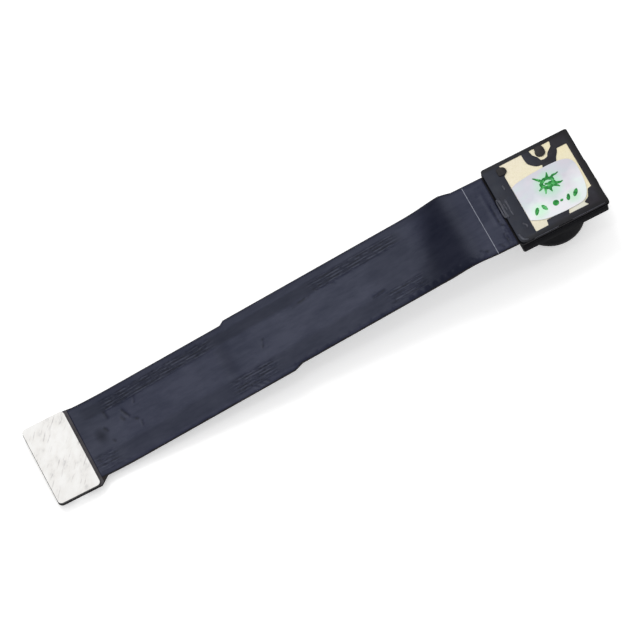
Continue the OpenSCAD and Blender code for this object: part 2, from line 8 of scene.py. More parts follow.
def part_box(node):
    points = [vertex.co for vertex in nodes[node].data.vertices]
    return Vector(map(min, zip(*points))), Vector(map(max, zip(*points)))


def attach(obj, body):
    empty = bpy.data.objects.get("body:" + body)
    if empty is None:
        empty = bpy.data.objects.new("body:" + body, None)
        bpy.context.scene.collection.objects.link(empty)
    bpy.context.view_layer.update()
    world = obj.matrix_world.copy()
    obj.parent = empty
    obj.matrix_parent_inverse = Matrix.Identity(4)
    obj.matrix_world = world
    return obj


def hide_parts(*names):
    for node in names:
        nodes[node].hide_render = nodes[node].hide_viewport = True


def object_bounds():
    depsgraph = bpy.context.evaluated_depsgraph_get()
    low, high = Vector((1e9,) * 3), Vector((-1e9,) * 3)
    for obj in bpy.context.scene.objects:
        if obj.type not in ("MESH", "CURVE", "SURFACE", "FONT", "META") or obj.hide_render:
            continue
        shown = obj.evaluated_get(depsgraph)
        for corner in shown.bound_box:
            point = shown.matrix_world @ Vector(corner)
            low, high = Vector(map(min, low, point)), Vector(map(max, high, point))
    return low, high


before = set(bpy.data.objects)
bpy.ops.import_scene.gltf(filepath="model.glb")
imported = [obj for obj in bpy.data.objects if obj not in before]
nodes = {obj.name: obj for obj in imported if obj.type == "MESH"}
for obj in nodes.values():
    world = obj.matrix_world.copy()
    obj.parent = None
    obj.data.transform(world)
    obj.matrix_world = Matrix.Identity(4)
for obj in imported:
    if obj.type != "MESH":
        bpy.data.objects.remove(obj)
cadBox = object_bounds()
mm = 0.001
# vertices nearer to each other than this count as one, in metres
weld = dict(copy=2e-6, outline=1e-6, bead=1e-7)
random.seed(7)
print("frame loaded,", len(nodes), "nodes")


# small helpers: selection, finishing a piece, sizes in millimetres

def clearSelection():
    if bpy.context.object and bpy.context.object.mode != "OBJECT":
        bpy.ops.object.mode_set(mode="OBJECT")
    bpy.ops.object.select_all(action="DESELECT")


def makeActive(piece):
    clearSelection()
    piece.select_set(True)
    bpy.context.view_layer.objects.active = piece


def boxOf(nodeName):
    low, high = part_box(nodeName)
    return low / mm, high / mm


def applyModifiers(piece):
    makeActive(piece)
    for modifier in list(piece.modifiers):
        bpy.ops.object.modifier_apply(modifier=modifier.name)


def finishPiece(piece, name, material, slotName, *replaced):
    applyModifiers(piece)
    bpy.ops.object.transform_apply()
    piece.name = name
    piece.data.name = name
    piece.data.materials.clear()
    piece.data.materials.append(material)
    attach(piece, "root")
    if replaced:
        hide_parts(*replaced)


def smoothByAngle(piece, degrees):
    makeActive(piece)
    bpy.ops.object.shade_smooth_by_angle(angle=math.radians(degrees))


def selectEdges(piece, test):
    # edit mode, edges chosen by their two ends in millimetres
    bpy.ops.object.mode_set(mode="EDIT")
    bpy.ops.mesh.select_mode(type="EDGE")
    bpy.ops.mesh.select_all(action="DESELECT")
    mesh = bmesh.from_edit_mesh(piece.data)
    for edge in mesh.edges:
        edge.select = test(edge.verts[0].co / mm, edge.verts[1].co / mm)
    mesh.select_flush_mode()
    bmesh.update_edit_mesh(piece.data)


def roundedBlock(low, high, cornerR, edgeR, segments=6):
    # a plate with rounded corners in plan and softened rims
    clearSelection()
    size = high - low
    bpy.ops.mesh.primitive_cube_add(size=1, location=(low + high) / 2 * mm)
    piece = bpy.context.object
    piece.scale = size * mm
    bpy.ops.object.transform_apply()
    selectEdges(piece, lambda a, b: abs(a.z - b.z) > size.z / 2)
    bpy.ops.mesh.bevel(offset=cornerR * mm, segments=segments, affect="EDGES")
    selectEdges(piece, lambda a, b: abs(a.z - b.z) < 1e-4)
    bpy.ops.mesh.bevel(offset=edgeR * mm, segments=3, affect="EDGES", clamp_overlap=True)
    bpy.ops.object.mode_set(mode="OBJECT")
    return piece


def softenedCopy(nodeName, pieceName, slotName, edgeR):
    # the node's own solid with its sharp edges broken
    piece = nodes[nodeName].copy()
    piece.data = nodes[nodeName].data.copy()
    for key in list(piece.keys()):
        del piece[key]
    piece.parent = None
    bpy.context.scene.collection.objects.link(piece)
    makeActive(piece)
    bpy.ops.mesh.customdata_custom_splitnormals_clear()
    bpy.ops.object.mode_set(mode="EDIT")
    bpy.ops.mesh.select_all(action="SELECT")
    bpy.ops.mesh.remove_doubles(threshold=weld["copy"])
    bpy.ops.mesh.dissolve_limited(angle_limit=math.radians(1))
    bpy.ops.object.mode_set(mode="OBJECT")
    rim = piece.modifiers.new("rim", "BEVEL")
    rim.width = edgeR * mm
    rim.segments = 2
    rim.limit_method = "ANGLE"
    rim.angle_limit = math.radians(30)
    applyModifiers(piece)
    smoothByAngle(piece, 35)
    finishPiece(piece, pieceName, finishes[slotName], slotName, nodeName)


def roundCorners(points, radius, steps=4):
    # a closed outline whose corners become short curves; a point may carry its own radius
    outline = []
    count = len(points)
    for i, point in enumerate(points):
        here = Vector(point[:2])
        r = point[2] if len(point) > 2 else radius
        before = Vector(points[i - 1][:2]) - here
        after = Vector(points[(i + 1) % count][:2]) - here
        start = here + before.normalized() * min(r, 0.49 * before.length)
        end = here + after.normalized() * min(r, 0.49 * after.length)
        for k in range(steps + 1):
            t = k / steps
            outline.append(start * (1 - t) ** 2 + here * 2 * t * (1 - t) + end * t * t)
    return outline


def planCorners(low, high, inset=0.0):
    # the four corners of a box seen from above
    left, right = low.x + inset, high.x - inset
    near, far = low.y + inset, high.y - inset
    return [(left, near), (right, near), (right, far), (left, far)]


def meshFrom(curve, z, distance, flatten=1.0):
    # the curve as a mesh whose near vertices are one and whose faces look outward
    piece = bpy.data.objects.new(curve.name, curve)
    bpy.context.scene.collection.objects.link(piece)
    piece.location.z = z * mm
    piece.scale.z = flatten
    makeActive(piece)
    bpy.ops.object.convert(target="MESH")
    bpy.ops.object.transform_apply()
    bpy.ops.object.mode_set(mode="EDIT")
    bpy.ops.mesh.select_all(action="SELECT")
    bpy.ops.mesh.remove_doubles(threshold=distance)
    bpy.ops.mesh.normals_make_consistent()
    bpy.ops.object.mode_set(mode="OBJECT")
    return bpy.context.object


def flatShape(outlines, zLow, zHigh, rim):
    # closed outlines filled and given a thickness with a soft rim; inner outlines are windows
    curve = bpy.data.curves.new("outline", "CURVE")
    curve.dimensions = "2D"
    curve.fill_mode = "BOTH"
    curve.extrude = ((zHigh - zLow) / 2 - rim) * mm
    curve.bevel_depth = rim * mm
    curve.bevel_resolution = 2
    curve.offset = -rim * mm
    for outline in outlines:
        spline = curve.splines.new("POLY")
        spline.points.add(len(outline) - 1)
        for point, place in zip(spline.points, outline):
            point.co = (place[0] * mm, place[1] * mm, 0, 1)
        spline.use_cyclic_u = True
    piece = meshFrom(curve, (zLow + zHigh) / 2, weld["outline"])
    smoothByAngle(piece, 40)
    return piece


def beadAlong(places, radii, closed=False, flatten=1.0, resolution=3):
    # a soft bead of varying thickness along a path
    curve = bpy.data.curves.new("bead", "CURVE")
    curve.dimensions = "3D"
    curve.bevel_depth = mm
    curve.bevel_resolution = resolution
    curve.use_fill_caps = True
    spline = curve.splines.new("NURBS")
    spline.points.add(len(places) - 1)
    middle = sum(place[2] for place in places) / len(places)
    for point, place, radius in zip(spline.points, places, radii):
        point.co = (place[0] * mm, place[1] * mm, (place[2] - middle) * mm / flatten, 1)
        point.radius = radius
    spline.order_u = 3
    spline.resolution_u = 3
    spline.use_cyclic_u = closed
    spline.use_endpoint_u = not closed
    piece = meshFrom(curve, middle, weld["bead"], flatten)
    bpy.ops.object.shade_smooth()
    return piece


def finishJoined(parts, name, material, slotName):
    # several beads made one piece
    clearSelection()
    for part in parts:
        part.select_set(True)
    bpy.context.view_layer.objects.active = parts[0]
    bpy.ops.object.join()
    finishPiece(bpy.context.object, name, material, slotName)


# materials: every pattern is laid out in millimetres on the object's own coordinates

def tone(red, green, blue):
    # screen values 0 to 255 as linear light
    def linear(v):
        v = v / 255
        return v / 12.92 if v <= 0.04045 else ((v + 0.055) / 1.055) ** 2.4
    return (linear(red), linear(green), linear(blue), 1)


class Finish:
    # a Principled surface that is built up node by node
    def __init__(self, name, roughness=0.5, metallic=0.0, specular=0.5):
        self.material = bpy.data.materials.new(name)
        self.material.use_nodes = True
        self.tree = self.material.node_tree
        self.shader = self.tree.nodes["Principled BSDF"]
        self.shade({"Roughness": roughness, "Metallic": metallic, "Specular IOR Level": specular})
        self.place = self.add("ShaderNodeTexCoord").outputs["Object"]
        self.bump = None

    def feed(self, node, inputs):
        # an input is a constant, or an output of another node
        for key, value in inputs.items():
            if isinstance(value, (int, float, tuple, list)):
                node.inputs[key].default_value = value
            else:
                self.tree.links.new(value, node.inputs[key])

    def add(self, kind, inputs={}, **settings):
        made = self.tree.nodes.new(kind)
        for key, value in settings.items():
            setattr(made, key, value)
        self.feed(made, inputs)
        return made

    def shade(self, inputs):
        self.feed(self.shader, inputs)

    def stretched(self, scale=(1, 1, 1), turn=(0, 0, 0), shift=(0, 0, 0)):
        # object coordinates in millimetres, turned first and then stretched along their own axes
        source = self.place
        if any(turn):
            angles = [math.radians(t) for t in turn]
            source = self.add("ShaderNodeMapping", {"Vector": source, "Rotation": angles}).outputs[0]
        return self.add("ShaderNodeMapping", {
            "Vector": source, "Scale": [1000 * s for s in scale], "Location": shift}).outputs[0]

    def noise(self, size, detail=3, rough=0.55, scale=(1, 1, 1), turn=(0, 0, 0), shift=(0, 0, 0)):
        return self.add("ShaderNodeTexNoise", {
            "Scale": 1 / size, "Detail": detail, "Roughness": rough,
            "Vector": self.stretched(scale, turn, shift)}).outputs["Fac"]

    def cells(self, size, scale=(1, 1, 1)):
        return self.add("ShaderNodeTexVoronoi", {
            "Scale": 1 / size, "Vector": self.stretched(scale)}).outputs["Distance"]

    def wave(self, pitch, direction, distort, scale):
        # at scale 1 the bands of a wave texture lie 0.314 apart
        return self.add("ShaderNodeTexWave", {
            "Scale": 0.314 / pitch, "Distortion": distort, "Detail Scale": scale,
            "Vector": self.stretched()}, bands_direction=direction).outputs["Fac"]

    def ramp(self, source, *stops):
        made = self.add("ShaderNodeValToRGB", {"Fac": source})
        elements = made.color_ramp.elements
        while len(elements) < len(stops):
            elements.new(0.5)
        for element, (at, value) in zip(elements, stops):
            element.position = at
            element.color = value if isinstance(value, tuple) else (value, value, value, 1)
        return made.outputs["Color"]

    def math(self, kind, *values):
        return self.add("ShaderNodeMath", dict(enumerate(values)), operation=kind).outputs[0]

    def times(self, a, b):
        return self.math("MULTIPLY", a, b)

    def plus(self, a, b):
        return self.math("ADD", a, b)

    def mix(self, share, first, second):
        # a mix node keeps its colour sockets behind those for numbers and vectors
        made = self.add("ShaderNodeMix", data_type="RGBA")
        self.feed(made, {0: share, 6: first, 7: second})
        return made.outputs[2]

    def attribute(self, name):
        return self.add("ShaderNodeAttribute", attribute_name=name).outputs["Fac"]

    def axis(self, name):
        return self.add("ShaderNodeSeparateXYZ", {0: self.stretched()}).outputs[name]

    def spread(self, source, inputs):
        return self.add("ShaderNodeMapRange", {"Value": source, **inputs}).outputs["Result"]

    def spot(self, centre, inner, outer, share):
        # a soft patch round one place, in millimetres, its border made ragged by noise
        wander = 0.4
        away = self.add("ShaderNodeVectorMath", {0: self.stretched(), 1: centre}, operation="DISTANCE")
        ragged = self.plus(away.outputs["Value"], self.times(self.noise(0.5, 2), wander))
        return self.spread(ragged, {
            "From Min": inner + wander / 2, "From Max": outer + wander / 2, "To Min": share, "To Max": 0.0})

    def colour(self, source):
        self.shade({"Base Color": source})

    def roughness(self, source, low, high):
        self.shade({"Roughness": self.spread(source, {"To Min": low, "To Max": high})})

    def relief(self, height, depth, strength=1.0):
        # depth in millimetres; several reliefs are chained
        made = self.add("ShaderNodeBump", {"Strength": strength, "Distance": depth * mm, "Height": height})
        if self.bump:
            self.feed(made, {"Normal": self.bump})
        self.bump = made.outputs["Normal"]
        self.shade({"Normal": self.bump})


def plainFinish(name, light, dark, patch, grain, depth, rough, metallic=0.0, specular=0.5):
    # two near tones in soft patches, and a fine grain that also moves the roughness
    made = Finish(name, rough[0], metallic, specular)
    patches = made.noise(patch, detail=4)
    grains = made.noise(grain, detail=2, shift=(3, 1, 2))
    made.colour(made.ramp(patches, (0.32, tone(*dark)), (0.68, tone(*light))))
    made.roughness(grains, *rough)
    made.relief(grains, depth, 0.6)
    made.relief(patches, depth * 3, 0.4)
    return made.material


def shieldFilmFinish(name, light, dark):
    # black laminate: satin where it lies smooth, duller and ridged over the bundles of traces; its colour
    # carries painted glints on the ridges and painted shade between them, in the grooves and where it bends
    # up to the head
    sheen = 0.16
    made = Finish(name, 0.33, 0.0, sheen)
    traces, fields, grooveShade, bendShading = (made.attribute(name) for name in ("traces", "fields", "grooveShade", "bendShading"))
    lines = made.wave(0.31, "Y", 0.6, 0.6)
    broken = made.ramp(made.noise(0.26, 3, scale=(0.3, 1.4, 1)), (0.42, 0.0), (0.58, 1.0))
    ridges = made.times(made.times(lines, traces), broken)
    between = made.times(made.math("SUBTRACT", 1.0, lines), traces)
    cut = made.ramp(made.noise(0.3, 2, scale=(0.28, 1.4, 1), shift=(4, 0, 0)), (0.46, 0.0), (0.58, 1.0))
    shadedGaps = made.times(between, cut)
    cloth = made.noise(0.1, 3)
    streaks = made.noise(0.45, 4, 0.65, scale=(0.22, 1, 1))
    clouds = made.plus(made.times(made.noise(2.2, 4, scale=(0.45, 1, 1)), 0.6), made.times(streaks, 0.4))
    base = made.ramp(clouds, (0.38, dark), (0.62, light))
    # darker in the dull areas: partly the film's own tone, partly painted shade
    dulledAndShaded = made.mix(made.times(fields, 0.5), base, (0.006, 0.007, 0.012, 1))
    # painted shade in the grooves
    shaded = made.mix(made.times(grooveShade, 0.85), dulledAndShaded, (0.004, 0.0045, 0.008, 1))
    # painted shade where the film bends up to the head
    shaded = made.mix(made.times(bendShading, 0.6), shaded, (0.003, 0.004, 0.009, 1))
    # painted shade between the ridges of the traces
    shaded = made.mix(made.times(shadedGaps, 0.7), shaded, (0.003, 0.0035, 0.007, 1))
    # weaker reflection in the bend: painted shade
    level = made.math("SUBTRACT", sheen, made.times(bendShading, 0.09))
    made.shade({"Specular IOR Level": level, "Specular Tint": (0.82, 0.88, 1.0, 1)})
    # a paler colour on the ridges: painted glints
    made.colour(made.mix(made.times(ridges, 0.17), shaded, tone(130, 134, 150)))
    wander = made.plus(made.times(made.noise(0.9, 3), 0.5), made.times(fields, 0.5))
    made.roughness(wander, 0.27, 0.47)
    made.relief(ridges, 0.03, 0.9)
    made.relief(made.times(made.cells(0.3, scale=(0.75, 1.1, 1)), traces), 0.05, 0.7)
    made.relief(made.noise(0.4, 3, scale=(0.45, 1, 1), turn=(0, 0, 35)), 0.01, 0.5)
    made.relief(cloth, 0.004, 0.6)
    made.relief(streaks, 0.02, 0.35)
    made.relief(made.noise(1.6, 2, scale=(0.4, 1, 1)), 0.03, 0.35)
    return made.material


def steelFinish(name):
    # pale rolled steel with faint slanted scratches and grey rubs
    made = Finish(name, 0.55, 0.1, 0.25)
    rubs = made.noise(0.9, 5, 0.6, scale=(0.6, 1, 1), turn=(0, 0, -52))
    fine = made.noise(0.09, 3, 0.6, scale=(0.12, 1, 1), turn=(0, 0, -58))
    long = made.noise(0.2, 2, 0.5, scale=(0.14, 1, 1), turn=(0, 0, -50))
    rubTone = made.ramp(
        rubs, (0.4, tone(244, 243, 241)), (0.58, tone(238, 236, 233)), (0.72, tone(216, 215, 214)))
    scratched = made.ramp(long, (0.6, 0.0), (0.7, 1.0))
    scratchShare = made.times(scratched, made.ramp(rubs, (0.38, 0.0), (0.58, 1.0)))
    made.colour(made.mix(made.times(scratchShare, 0.65), rubTone, tone(178, 174, 174)))
    made.roughness(rubs, 0.45, 0.7)
    made.relief(fine, 0.002, 0.5)
    made.relief(long, 0.003, 0.3)
    return made.material


def stickerFinish(name):
    # pearly silver paper: lavender grey above and whiter below left, which is painted sheen, with faint
    # pink and green gleams, which are painted reflections
    made = Finish(name, 0.38, 0.0, 0.4)
    slope = made.plus(made.times(made.axis("Y"), 0.16), made.times(made.axis("X"), -0.03))
    tilt = made.plus(slope, made.times(made.noise(1.8, 2), 0.5))
    body = made.ramp(
        tilt, (0.0, tone(243, 247, 249)), (0.1, tone(231, 234, 238)), (0.24, tone(208, 211, 219)))
    # pink and green gleams over the paper: painted reflection
    gleam = made.noise(1.1, 1, 0.4, scale=(0.7, 1.2, 1), shift=(5, 2, 0))
    hue = made.ramp(
        gleam, (0.36, tone(200, 230, 216)), (0.5, tone(214, 216, 227)), (0.66, tone(228, 206, 222)))
    shown = made.mix(0.25, body, hue)
    # a grey-green and a pink painted gleam, then pale green that the pen's thinner has spread into the
    # paper
    level = 6.24
    patches = [
        ((0.3, -1.2, level), 0.3, 1.5, 0.5, tone(190, 208, 206)),
        ((2.0, -1.1, level), 0.1, 0.9, 0.4, tone(214, 188, 212)),
        ((0.45, 0.0, level), 0.6, 1.5, 0.8, tone(176, 232, 194)),
        ((-1.4, -2.1, level), 0.3, 1.0, 0.8, tone(196, 244, 208)),
        ((1.9, -2.2, level), 0.3, 0.9, 0.7, tone(190, 238, 200)),
    ]
    for centre, inner, outer, share, tint in patches:
        shown = made.mix(made.spot(centre, inner, outer, share), shown, tint)
    made.colour(shown)
    made.roughness(made.noise(0.7, 2), 0.3, 0.5)
    made.relief(made.noise(0.9, 2, scale=(1, 0.5, 1)), 0.012, 0.4)
    made.relief(made.noise(0.06, 2), 0.002, 0.3)
    return made.material


def platedFinish(name):
    # matt gold plating, creamier on the left, yellower on the right, and greyer at the lower rim, which is
    # painted shade
    made = Finish(name, 0.45, 0.05, 0.3)
    along = made.plus(made.times(made.axis("X"), 0.14), made.noise(1.3, 4))
    body = made.ramp(
        along, (0.2, tone(240, 231, 207)), (0.6, tone(240, 232, 203)), (0.95, tone(243, 233, 198)))
    specks = made.ramp(made.noise(0.12, 3), (0.45, 0.0), (0.7, 1.0))
    body = made.mix(made.times(specks, 0.3), body, tone(218, 204, 166))
    # greyer towards the lower rim: painted shade
    low = made.ramp(made.times(made.axis("Y"), -0.2), (0.45, 0.0), (0.65, 1.0))
    body = made.mix(made.times(low, 0.5), body, tone(216, 213, 192))
    worn = made.spot((1.9, -3.5, 6.18), 0.4, 1.1, 0.6)
    made.colour(made.mix(worn, body, tone(226, 228, 222)))
    made.roughness(specks, 0.4, 0.6)
    made.relief(made.noise(0.1, 3), 0.006, 0.6)
    return made.material


def boardFinish(name, light, dark):
    # black glass-fibre board: fine plies show on the routed edge
    made = Finish(name, 0.6, 0.0, 0.03)
    plies = made.wave(0.05, "Z", 1.2, 2.0)
    fibres = made.noise(0.05, 3, scale=(1, 1, 3))
    made.colour(made.ramp(made.times(made.plus(plies, fibres), 0.5), (0.3, dark), (0.8, light)))
    made.roughness(fibres, 0.45, 0.7)
    made.relief(plies, 0.004, 0.5)
    made.relief(fibres, 0.005, 0.6)
    return made.material


def maskFinish(name):
    # satin black lacquer over the copper: bluish on the ribbon's side, warmer towards the far edge, and
    # darker towards the outer rim, which is painted shade
    made = Finish(name, 0.45, 0.0, 0.2)
    along = made.plus(made.times(made.axis("X"), 0.09), made.noise(1.3, 4))
    body = made.ramp(along, (0.1, tone(37, 41, 53)), (0.5, tone(37, 38, 48)), (0.85, tone(31, 28, 36)))
    # darker towards the outer rim: painted shade
    reach = made.math("MAXIMUM", made.math("ABSOLUTE", made.axis("Y")), made.axis("X"))
    rim = made.ramp(made.times(reach, 0.2), (0.74, 0.0), (0.8, 1.0))
    made.colour(made.mix(made.times(rim, 0.7), body, tone(18, 18, 20)))
    grain = made.noise(0.08, 3)
    made.roughness(made.noise(0.7, 3), 0.38, 0.58)
    made.relief(grain, 0.004, 0.6)
    made.relief(made.noise(0.6, 2), 0.012, 0.5)
    return made.material


def inkFinish(name):
    # green felt pen: darker at the middle of a stroke, paler where it runs thin
    made = Finish(name, 0.6, 0.0, 0.2)
    flow = made.noise(0.35, 3, 0.6)
    made.colour(made.ramp(
        flow, (0.36, tone(28, 112, 52)), (0.52, tone(48, 150, 66)), (0.68, tone(112, 206, 128))))
    made.roughness(flow, 0.5, 0.75)
    made.relief(flow, 0.003, 0.4)
    return made.material


def glassFinish(name, body, coat):
    # clear glass or resin with a faint coloured coating
    made = Finish(name, 0.03, 0.0, 0.5)
    made.shade({"Transmission Weight": 0.92, "IOR": 1.53, "Coat Weight": 0.6, "Coat Tint": coat})
    deeper = tuple(0.97 * c for c in body[:3]) + (1,)
    made.colour(made.ramp(made.noise(2.0, 1), (0.3, body), (0.7, deeper)))
    made.relief(made.noise(0.4, 1), 0.0005, 0.2)
    return made.material


# light and dark tone, size of the patches and of the grain, depth, range of roughness, metal, shine
plain = {
    "adhesive": ("adhesive", (80, 77, 81), (60, 57, 60), 0.8, 0.08, 0.004, (0.5, 0.7), 0, 0.2),
    "plug_plastic": ("plugPlastic", (34, 33, 36), (24, 23, 26), 1.2, 0.05, 0.002, (0.45, 0.6), 0, 0.35),
    "gold": ("contactGold", (246, 214, 140), (228, 188, 108), 0.5, 0.04, 0.001, (0.18, 0.32), 1.0),
    "tin": ("tinned", (226, 226, 224), (200, 200, 200), 0.5, 0.05, 0.002, (0.25, 0.42), 1.0),
    "core": ("polyimideCore", (34, 30, 31), (18, 17, 20), 1.0, 0.06, 0.003, (0.42, 0.6), 0, 0.12),
    "holder_plastic": ("holderPlastic", (14, 14, 18), (9, 10, 13), 1.5, 0.06, 0.003, (0.42, 0.6), 0, 0.015),
    "barrel_plastic": ("barrelPlastic", (20, 20, 24), (13, 13, 16), 1.0, 0.05, 0.002, (0.34, 0.5), 0, 0.06),
    "glue": ("blackEpoxy", (16, 16, 20), (8, 8, 11), 0.5, 0.1, 0.006, (0.35, 0.55), 0, 0.04),
    "silicon": ("sensorSilicon", (92, 104, 130), (66, 78, 104), 0.9, 0.05, 0.0005, (0.12, 0.2), 0.6),
    "die_bond": ("dieBond", (220, 218, 210), (200, 198, 190), 0.6, 0.06, 0.003, (0.5, 0.6)),
    "ceramic": ("ceramic", (178, 158, 134), (150, 128, 104), 0.3, 0.04, 0.002, (0.45, 0.6)),
    "clear_glue": ("clearGlue", (210, 208, 196), (190, 188, 176), 0.4, 0.08, 0.004, (0.25, 0.35)),
    "foil": ("blackFoil", (24, 24, 26), (14, 14, 16), 0.6, 0.04, 0.002, (0.6, 0.75), 0, 0.2),
}
finishes = {slotName: plainFinish(*values) for slotName, values in plain.items()}
finishes.update({
    "steel": steelFinish("steel"),
    "film": shieldFilmFinish("shieldFilm", tone(48, 50, 67), tone(29, 32, 51)),
    "board": boardFinish("boardBlack", tone(18, 18, 24), tone(6, 7, 10)),
    "mask": maskFinish("solderMask"),
    "ground_gold": platedFinish("groundPlating"),
    "sticker": stickerFinish("pearlPaper"),
    "filter_glass": glassFinish("filterGlass", tone(214, 236, 232), tone(120, 220, 190)),
    "lens_resin": glassFinish("lensResin", tone(244, 246, 250), tone(150, 120, 230)),
})
dressing = {
    "steel": ["connector_stiffener"],
    "adhesive": ["stiffener_adhesive"],
    "plug_plastic": ["plug_housing"],
    "gold": ["plug_contacts", "bond_wires"],
    "tin": ["plug_hold_downs", "capacitor_terminals"],
    "core": ["flex_core"],
    "film": ["top_shield_film", "bottom_shield_film"],
    "board": ["upper_rigid_layer", "lower_rigid_layer"],
    "mask": ["solder_mask"],
    "ground_gold": ["ground_plate"],
    "sticker": ["back_label"],
    "holder_plastic": ["lens_holder"],
    "barrel_plastic": ["lens_barrel", "retaining_ring", "lens_spacer"],
    "glue": ["junction_bead", "holder_glue", "thread_glue"],
    "silicon": ["sensor_die"],
    "die_bond": ["die_attach"],
    "ceramic": ["capacitor_bodies"],
    "filter_glass": ["ir_filter"],
    "clear_glue": ["filter_glue"],
    "lens_resin": ["lens_1", "lens_2", "lens_3", "lens_4"],
    "foil": ["aperture_stop", "light_baffle"],
}
for slotName, nodeNames in dressing.items():
    for nodeName in nodeNames:
        meshData = nodes[nodeName].data
        if not meshData.materials:
            meshData.materials.append(finishes[slotName])
        for holder in nodes[nodeName].material_slots:
            holder.material = finishes[slotName]
print("finishes ready:", len(finishes))


# ribbon: the profile of its core, then the two shield films that lie on it

plateLow, plateHigh = boxOf("connector_stiffener")
plugHigh = boxOf("plug_housing")[1]
boardLow, boardHigh = boxOf("upper_rigid_layer")
carrierLow, carrierHigh = boxOf("lower_rigid_layer")
maskLow, maskHigh = boxOf("solder_mask")
ribbon = dict(
    startZ=plugHigh.z,             # underside of the core at the plug
    endZ=carrierHigh.z,            # underside of the core in the head
    bendRise=0.55,
    padEdge=plateHigh.x + 0.06,
    shoulderX=plateHigh.x + 0.96,
    rampEndX=boardLow.x - 3.5,
    rampEnds=(0.1, 0.04),
    bendX=boardLow.x - 8.5,
    bendLength=5.0,
    bendEnds=(0.45, 0.45),
    coreThickness=0.12,
    filmThickness=0.05,
    halfWidth=3.8,
    jog=0.3,
    padOffset=0.31,                # sideways offset of the axis at the pad and at the head
    headOffset=-0.12,
    upperJogs=((-31.75, -31.2), (-8.95, -7.65)),
    lowerJogs=((-27.7, -26.6), (-12.5, -6.6)),
    upperTrim=0.02,                # shifts of the films' long edges inward
    lowerTrim=0.03,
)


def easeBetween(t, first, last):
    # an even rise from 0 to 1 whose two ends are rounded over the shares first and last
    m = 1 / (1 - (first + last) / 2)
    if t <= 0 or t >= 1:
        return min(max(t, 0), 1)
    if t < first:
        return m * t * t / (2 * first)
    if t > 1 - last:
        return 1 - m * (1 - t) ** 2 / (2 * last)
    return m * (t - first / 2)


def coreHeight(x):
    rise = ribbon["endZ"] - ribbon["startZ"] - ribbon["bendRise"]
    rampLength = ribbon["rampEndX"] - ribbon["shoulderX"]
    ramp = easeBetween((x - ribbon["shoulderX"]) / rampLength, *ribbon["rampEnds"])
    bend = easeBetween((x - ribbon["bendX"]) / ribbon["bendLength"], *ribbon["bendEnds"])
    return ribbon["startZ"] + rise * ramp + ribbon["bendRise"] * bend


def step(x, start, end):
    # a smooth rise from 0 to 1
    t = min(max((x - start) / (end - start), 0), 1)
    return t * t * (3 - 2 * t)


def axisY(x):
    # the middle line of the ribbon, which runs a little askew
    along = (x - ribbon["padEdge"]) / (boardLow.x - ribbon["padEdge"])
    return ribbon["padOffset"] + (ribbon["headOffset"] - ribbon["padOffset"]) * along


def jogAt(x, jogs):
    # 0 outside the wider stretch of an edge and 1 along it
    (outStart, outEnd), (backStart, backEnd) = jogs
    return step(x, outStart, outEnd) - step(x, backStart, backEnd)


def upperEdge(x):
    jog = jogAt(x, ribbon["upperJogs"])
    rough = 0.03 * noise.noise(Vector((x * 1.7, 3.1, 0))) + 0.012 * noise.noise(Vector((x * 6, 1, 0)))
    return axisY(x) + ribbon["halfWidth"] + ribbon["jog"] * jog + rough - ribbon["upperTrim"]


def lowerEdge(x):
    jog = jogAt(x, ribbon["lowerJogs"])
    rough = 0.05 * noise.noise(Vector((x * 1.1, 9.1, 0))) + 0.015 * noise.noise(Vector((x * 5, 4, 0)))
    return axisY(x) - ribbon["halfWidth"] + ribbon["jog"] * jog + rough + ribbon["lowerTrim"]


def ridge(x, y, start, end, width, height):
    # a soft ridge along a straight stroke, negative height for a groove
    line = Vector(end) - Vector(start)
    offset = Vector((x, y)) - Vector(start)
    t = min(max(offset.dot(line) / line.length_squared, 0), 1)
    away = (offset - line * t).length / width
    return height * math.exp(-away * away) if away < 3 else 0.0


def span(v, start, end, soft):
    # 1 between start and end, 0 beyond them, with soft borders
    return step(v, start - soft, start + soft) - step(v, end - soft, end + soft)


